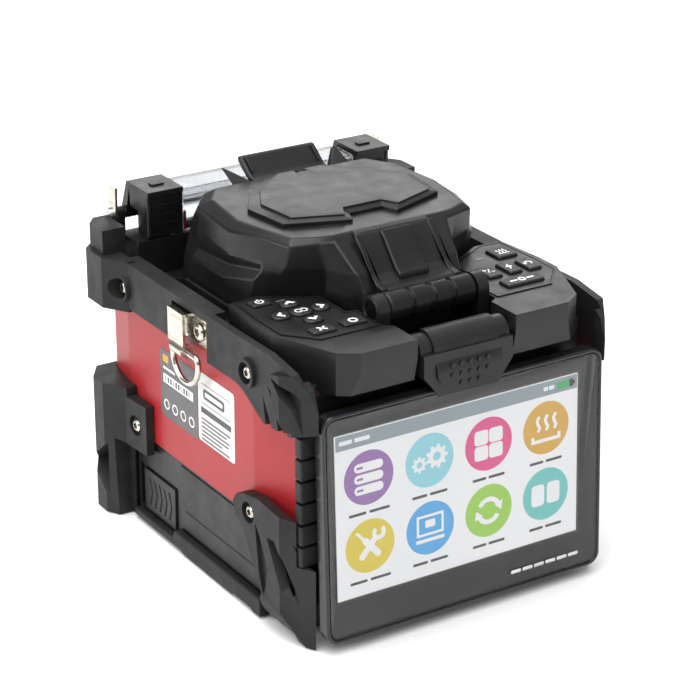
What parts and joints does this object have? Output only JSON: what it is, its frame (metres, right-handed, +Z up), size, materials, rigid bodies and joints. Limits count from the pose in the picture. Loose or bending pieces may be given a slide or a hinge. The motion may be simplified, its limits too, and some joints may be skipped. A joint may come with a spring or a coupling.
{
  "type": "fiber fusion splicer",
  "caption": "Hand-held fibre fusion splicer: metal case with rubber corner guards, tilting display, hinged wind cover, sleeve heater and keypads.",
  "frame": {"origin": "middle of the footprint, on the surface that the instrument stands on", "axes": "+X right seen from the display, +Y to the rear (heater side), +Z up"},
  "size_m": [0.152, 0.1661, 0.146],
  "materials": {
    "red_shell": "satin powder coat",
    "black_plastic": "fine grained moulding",
    "guard_rubber": "matte rubber",
    "nickel": "bright nickel plate",
    "steel": "ground",
    "clear_plastic": "clear polycarbonate",
    "screen_glass": "touch glass",
    "panel": "lit display",
    "aluminium": "machined, anodised",
    "ceramic_white": "white ceramic",
    "board_green": "solder mask",
    "socket_metal": "tinned",
    "key_rubber": "silicone with white legend"
  },
  "bodies": {
    "root": {"case_screws": "nickel", "corner_grips": "guard_rubber", "drive_motors": "aluminium", "electrode_holders": "steel", "electrodes": "steel", "frame_plate": "aluminium", "front_guards": "guard_rubber", "groove_blocks": "ceramic_white", "heater_base": "black_plastic", "heater_hinge_plates": "nickel", "heater_tray": "ceramic_white", "high_voltage_module": "board_green", "hinge_pins": "steel", "keypad_plates": "black_plastic", "lower_case": "black_plastic", "main_board": "board_green", "microscope_cameras": "aluminium", "port_panel": "black_plastic", "port_sockets": "socket_metal", "rear_guards": "guard_rubber", "rubber_feet": "guard_rubber", "sheath_clamp_bases": "aluminium", "side_shell": "red_shell", "side_skids": "guard_rubber", "stage_base": "aluminium", "status_lights": "clear_plastic", "strap_brackets": "nickel", "top_cover": "black_plastic", "upper_guard_left": "guard_rubber", "upper_guard_right": "guard_rubber"},
    "battery": {"battery_pack": "black_plastic"},
    "latch": {"battery_latch": "black_plastic"},
    "ring_left": {"strap_ring_left": "nickel"},
    "ring_right": {"strap_ring_right": "nickel"},
    "cover": {"wind_cover": "black_plastic", "cover_badge": "black_plastic", "fibre_pressers": "ceramic_white"},
    "display": {"display_frame": "black_plastic", "display_glass": "screen_glass", "display_panel": "panel", "display_back": "black_plastic", "display_tongue": "black_plastic"},
    "clamp_left": {"heater_clamp_left": "black_plastic"},
    "clamp_right": {"heater_clamp_right": "black_plastic"},
    "lid": {"heater_lid": "clear_plastic"},
    "sheath_left": {"sheath_clamp_lid_left": "aluminium"},
    "sheath_right": {"sheath_clamp_lid_right": "aluminium"},
    "key_arc": {"key_arc": "key_rubber"},
    "key_axis": {"key_axis": "key_rubber"},
    "key_cancel": {"key_cancel": "key_rubber"},
    "key_centre": {"key_centre": "key_rubber"},
    "key_confirm": {"key_confirm": "key_rubber"},
    "key_down": {"key_down": "key_rubber"},
    "key_heat": {"key_heat": "key_rubber"},
    "key_left": {"key_left": "key_rubber"},
    "key_power": {"key_power": "key_rubber"},
    "key_reset": {"key_reset": "key_rubber"},
    "key_right": {"key_right": "key_rubber"},
    "key_set": {"key_set": "key_rubber"},
    "key_up": {"key_up": "key_rubber"}
  },
  "joints": [
    {"name": "cover_hinge", "type": "hinge", "parent": "root", "child": "cover", "pos_m": [0, -0.051, 0.1185], "axis": [1, 0, 0], "range_deg": [0, 95]},
    {"name": "display_tilt", "type": "hinge", "parent": "root", "child": "display", "pos_m": [0, -0.0705, 0.1085], "axis": [-1, 0, 0], "range_deg": [0, 90]},
    {"name": "battery_slide", "type": "slide", "parent": "root", "child": "battery", "axis": [-1, 0, 0], "range_m": [0, 0.088]},
    {"name": "latch_slide", "type": "slide", "parent": "root", "child": "latch", "axis": [0, 1, 0], "range_m": [0, 0.004]},
    {"name": "ring_left_swing", "type": "hinge", "parent": "root", "child": "ring_left", "pos_m": [-0.0706, 0.0055, 0.0924], "axis": [0, 1, 0], "range_deg": [-6, 90]},
    {"name": "ring_right_swing", "type": "hinge", "parent": "root", "child": "ring_right", "pos_m": [0.0706, 0.0055, 0.0924], "axis": [0, -1, 0], "range_deg": [-6, 90]},
    {"name": "clamp_left_hinge", "type": "hinge", "parent": "root", "child": "clamp_left", "pos_m": [-0.0485, 0.0805, 0.1225], "axis": [-1, 0, 0], "range_deg": [0, 95]},
    {"name": "clamp_right_hinge", "type": "hinge", "parent": "root", "child": "clamp_right", "pos_m": [0.0485, 0.0805, 0.1225], "axis": [-1, 0, 0], "range_deg": [0, 95]},
    {"name": "lid_hinge", "type": "hinge", "parent": "root", "child": "lid", "pos_m": [0, 0.0805, 0.1225], "axis": [-1, 0, 0], "range_deg": [0, 95]},
    {"name": "sheath_left_hinge", "type": "hinge", "parent": "root", "child": "sheath_left", "pos_m": [-0.0257, 0.0152, 0.1152], "axis": [-1, 0, 0], "range_deg": [0, 50]},
    {"name": "sheath_right_hinge", "type": "hinge", "parent": "root", "child": "sheath_right", "pos_m": [0.0257, 0.0152, 0.1152], "axis": [-1, 0, 0], "range_deg": [0, 50]},
    {"name": "key_arc_press", "type": "slide", "parent": "root", "child": "key_arc", "axis": [0, 0, -1], "range_m": [0, 0.0008], "stiffness_N_per_m": 600},
    {"name": "key_axis_press", "type": "slide", "parent": "root", "child": "key_axis", "axis": [0, 0, -1], "range_m": [0, 0.0008], "stiffness_N_per_m": 600},
    {"name": "key_cancel_press", "type": "slide", "parent": "root", "child": "key_cancel", "axis": [0, 0, -1], "range_m": [0, 0.0008], "stiffness_N_per_m": 600},
    {"name": "key_centre_press", "type": "slide", "parent": "root", "child": "key_centre", "axis": [0, 0, -1], "range_m": [0, 0.0008], "stiffness_N_per_m": 600},
    {"name": "key_confirm_press", "type": "slide", "parent": "root", "child": "key_confirm", "axis": [0, 0, -1], "range_m": [0, 0.0008], "stiffness_N_per_m": 600},
    {"name": "key_down_press", "type": "slide", "parent": "root", "child": "key_down", "axis": [0, 0, -1], "range_m": [0, 0.0008], "stiffness_N_per_m": 600},
    {"name": "key_heat_press", "type": "slide", "parent": "root", "child": "key_heat", "axis": [0, 0, -1], "range_m": [0, 0.0008], "stiffness_N_per_m": 600},
    {"name": "key_left_press", "type": "slide", "parent": "root", "child": "key_left", "axis": [0, 0, -1], "range_m": [0, 0.0008], "stiffness_N_per_m": 600},
    {"name": "key_power_press", "type": "slide", "parent": "root", "child": "key_power", "axis": [0, 0, -1], "range_m": [0, 0.0008], "stiffness_N_per_m": 600},
    {"name": "key_reset_press", "type": "slide", "parent": "root", "child": "key_reset", "axis": [0, 0, -1], "range_m": [0, 0.0008], "stiffness_N_per_m": 600},
    {"name": "key_right_press", "type": "slide", "parent": "root", "child": "key_right", "axis": [0, 0, -1], "range_m": [0, 0.0008], "stiffness_N_per_m": 600},
    {"name": "key_set_press", "type": "slide", "parent": "root", "child": "key_set", "axis": [0, 0, -1], "range_m": [0, 0.0008], "stiffness_N_per_m": 600},
    {"name": "key_up_press", "type": "slide", "parent": "root", "child": "key_up", "axis": [0, 0, -1], "range_m": [0, 0.0008], "stiffness_N_per_m": 600}
  ]
}
